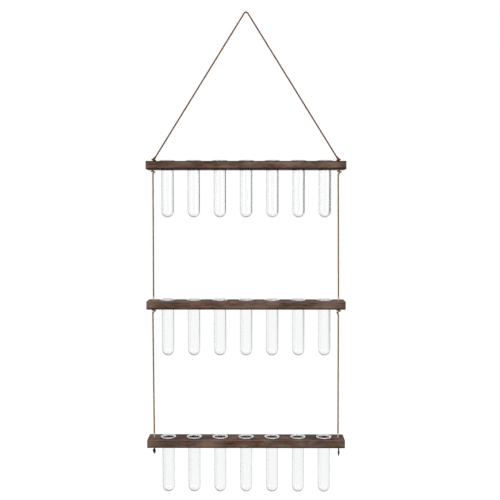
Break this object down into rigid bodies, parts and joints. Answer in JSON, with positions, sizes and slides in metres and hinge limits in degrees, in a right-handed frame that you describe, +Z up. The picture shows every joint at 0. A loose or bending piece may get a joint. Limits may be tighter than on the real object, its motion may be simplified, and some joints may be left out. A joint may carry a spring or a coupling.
{
  "type": "hanging propagation rack",
  "caption": "Wall-hanging propagation rack: dark wooden bars strung one below another on jute cord, each holding a row of round-bottomed glass tubes for cuttings.",
  "frame": {"origin": "axis of the peg that the cord hangs over, in the middle of the rack", "axes": "+Z up, +X to the viewer's right along the bars, +Y towards the wall, so the front faces -Y"},
  "size_m": [0.4, 0.044, 0.974],
  "materials": {
    "dark_wood": "dark brown stained softwood, matt, with open grain and slightly darker eased edges",
    "clear_glass": "clear laboratory glass, smooth, with a fire-polished rolled rim",
    "jute": "twisted natural jute twine, brown, matt, with loose fibres"
  },
  "bodies": {
    "top_tier": {"bar_top": "dark_wood", "hanger_cord": "jute", "hanger_knot_left": "jute", "hanger_knot_right": "jute"},
    "upper_knots": {"upper_knot_left": "jute", "upper_knot_right": "jute"},
    "upper_cord_left": {"upper_cord_left": "jute"},
    "upper_cord_right": {"upper_cord_right": "jute"},
    "middle_tier": {"bar_middle": "dark_wood", "middle_cord_left": "jute", "middle_cord_right": "jute"},
    "lower_knots": {"lower_knot_left": "jute", "lower_knot_right": "jute"},
    "lower_cord_left": {"lower_cord_left": "jute"},
    "lower_cord_right": {"lower_cord_right": "jute"},
    "bottom_tier": {"bar_bottom": "dark_wood", "end_knot_left": "jute", "end_knot_right": "jute"},
    "tube_top_1": {"tube_top_1": "clear_glass"},
    "tube_top_2": {"tube_top_2": "clear_glass"},
    "tube_top_3": {"tube_top_3": "clear_glass"},
    "tube_top_4": {"tube_top_4": "clear_glass"},
    "tube_top_5": {"tube_top_5": "clear_glass"},
    "tube_top_6": {"tube_top_6": "clear_glass"},
    "tube_top_7": {"tube_top_7": "clear_glass"},
    "tube_middle_1": {"tube_middle_1": "clear_glass"},
    "tube_middle_2": {"tube_middle_2": "clear_glass"},
    "tube_middle_3": {"tube_middle_3": "clear_glass"},
    "tube_middle_4": {"tube_middle_4": "clear_glass"},
    "tube_middle_5": {"tube_middle_5": "clear_glass"},
    "tube_middle_6": {"tube_middle_6": "clear_glass"},
    "tube_middle_7": {"tube_middle_7": "clear_glass"},
    "tube_bottom_1": {"tube_bottom_1": "clear_glass"},
    "tube_bottom_2": {"tube_bottom_2": "clear_glass"},
    "tube_bottom_3": {"tube_bottom_3": "clear_glass"},
    "tube_bottom_4": {"tube_bottom_4": "clear_glass"},
    "tube_bottom_5": {"tube_bottom_5": "clear_glass"},
    "tube_bottom_6": {"tube_bottom_6": "clear_glass"},
    "tube_bottom_7": {"tube_bottom_7": "clear_glass"}
  },
  "joints": [
    {"name": "middle_swing", "type": "hinge", "parent": "top_tier", "child": "upper_knots", "pos_m": [0, 0, -0.3138], "axis": [1, 0, 0], "range_deg": [-15, 15]},
    {"name": "upper_left_lean", "type": "hinge", "parent": "upper_knots", "child": "upper_cord_left", "pos_m": [-0.188, 0, -0.3138], "axis": [0, 1, 0], "range_deg": [-5, 5]},
    {"name": "upper_right_lean", "type": "hinge", "parent": "upper_knots", "child": "upper_cord_right", "pos_m": [0.188, 0, -0.3138], "axis": [0, 1, 0], "range_deg": [-5, 5]},
    {"name": "middle_sway", "type": "hinge", "parent": "upper_cord_left", "child": "middle_tier", "pos_m": [-0.188, 0, -0.5732], "axis": [0, 1, 0], "range_deg": [-5, 5]},
    {"name": "bottom_swing", "type": "hinge", "parent": "middle_tier", "child": "lower_knots", "pos_m": [0, 0, -0.5948], "axis": [1, 0, 0], "range_deg": [-15, 15]},
    {"name": "lower_left_lean", "type": "hinge", "parent": "lower_knots", "child": "lower_cord_left", "pos_m": [-0.188, 0, -0.5948], "axis": [0, 1, 0], "range_deg": [-5, 5]},
    {"name": "lower_right_lean", "type": "hinge", "parent": "lower_knots", "child": "lower_cord_right", "pos_m": [0.188, 0, -0.5948], "axis": [0, 1, 0], "range_deg": [-5, 5]},
    {"name": "bottom_sway", "type": "hinge", "parent": "lower_cord_left", "child": "bottom_tier", "pos_m": [-0.188, 0, -0.8542], "axis": [0, 1, 0], "range_deg": [-5, 5]},
    {"name": "lift_top_1", "type": "slide", "parent": "top_tier", "child": "tube_top_1", "axis": [0, 0, 1], "range_m": [0, 0.016]},
    {"name": "lift_top_2", "type": "slide", "parent": "top_tier", "child": "tube_top_2", "axis": [0, 0, 1], "range_m": [0, 0.1]},
    {"name": "lift_top_3", "type": "slide", "parent": "top_tier", "child": "tube_top_3", "axis": [0, 0, 1], "range_m": [0, 0.115]},
    {"name": "lift_top_4", "type": "slide", "parent": "top_tier", "child": "tube_top_4", "axis": [0, 0, 1], "range_m": [0, 0.115]},
    {"name": "lift_top_5", "type": "slide", "parent": "top_tier", "child": "tube_top_5", "axis": [0, 0, 1], "range_m": [0, 0.115]},
    {"name": "lift_top_6", "type": "slide", "parent": "top_tier", "child": "tube_top_6", "axis": [0, 0, 1], "range_m": [0, 0.1]},
    {"name": "lift_top_7", "type": "slide", "parent": "top_tier", "child": "tube_top_7", "axis": [0, 0, 1], "range_m": [0, 0.016]},
    {"name": "lift_middle_1", "type": "slide", "parent": "middle_tier", "child": "tube_middle_1", "axis": [0, 0, 1], "range_m": [0, 0.115]},
    {"name": "lift_middle_2", "type": "slide", "parent": "middle_tier", "child": "tube_middle_2", "axis": [0, 0, 1], "range_m": [0, 0.115]},
    {"name": "lift_middle_3", "type": "slide", "parent": "middle_tier", "child": "tube_middle_3", "axis": [0, 0, 1], "range_m": [0, 0.115]},
    {"name": "lift_middle_4", "type": "slide", "parent": "middle_tier", "child": "tube_middle_4", "axis": [0, 0, 1], "range_m": [0, 0.115]},
    {"name": "lift_middle_5", "type": "slide", "parent": "middle_tier", "child": "tube_middle_5", "axis": [0, 0, 1], "range_m": [0, 0.115]},
    {"name": "lift_middle_6", "type": "slide", "parent": "middle_tier", "child": "tube_middle_6", "axis": [0, 0, 1], "range_m": [0, 0.115]},
    {"name": "lift_middle_7", "type": "slide", "parent": "middle_tier", "child": "tube_middle_7", "axis": [0, 0, 1], "range_m": [0, 0.115]},
    {"name": "lift_bottom_1", "type": "slide", "parent": "bottom_tier", "child": "tube_bottom_1", "axis": [0, 0, 1], "range_m": [0, 0.115]},
    {"name": "lift_bottom_2", "type": "slide", "parent": "bottom_tier", "child": "tube_bottom_2", "axis": [0, 0, 1], "range_m": [0, 0.115]},
    {"name": "lift_bottom_3", "type": "slide", "parent": "bottom_tier", "child": "tube_bottom_3", "axis": [0, 0, 1], "range_m": [0, 0.115]},
    {"name": "lift_bottom_4", "type": "slide", "parent": "bottom_tier", "child": "tube_bottom_4", "axis": [0, 0, 1], "range_m": [0, 0.115]},
    {"name": "lift_bottom_5", "type": "slide", "parent": "bottom_tier", "child": "tube_bottom_5", "axis": [0, 0, 1], "range_m": [0, 0.115]},
    {"name": "lift_bottom_6", "type": "slide", "parent": "bottom_tier", "child": "tube_bottom_6", "axis": [0, 0, 1], "range_m": [0, 0.115]},
    {"name": "lift_bottom_7", "type": "slide", "parent": "bottom_tier", "child": "tube_bottom_7", "axis": [0, 0, 1], "range_m": [0, 0.115]}
  ],
  "couplings": [
    {"joint": "upper_left_lean", "follows": "middle_sway", "ratio": -1},
    {"joint": "upper_right_lean", "follows": "middle_sway", "ratio": -1},
    {"joint": "lower_left_lean", "follows": "bottom_sway", "ratio": -1},
    {"joint": "lower_right_lean", "follows": "bottom_sway", "ratio": -1}
  ]
}
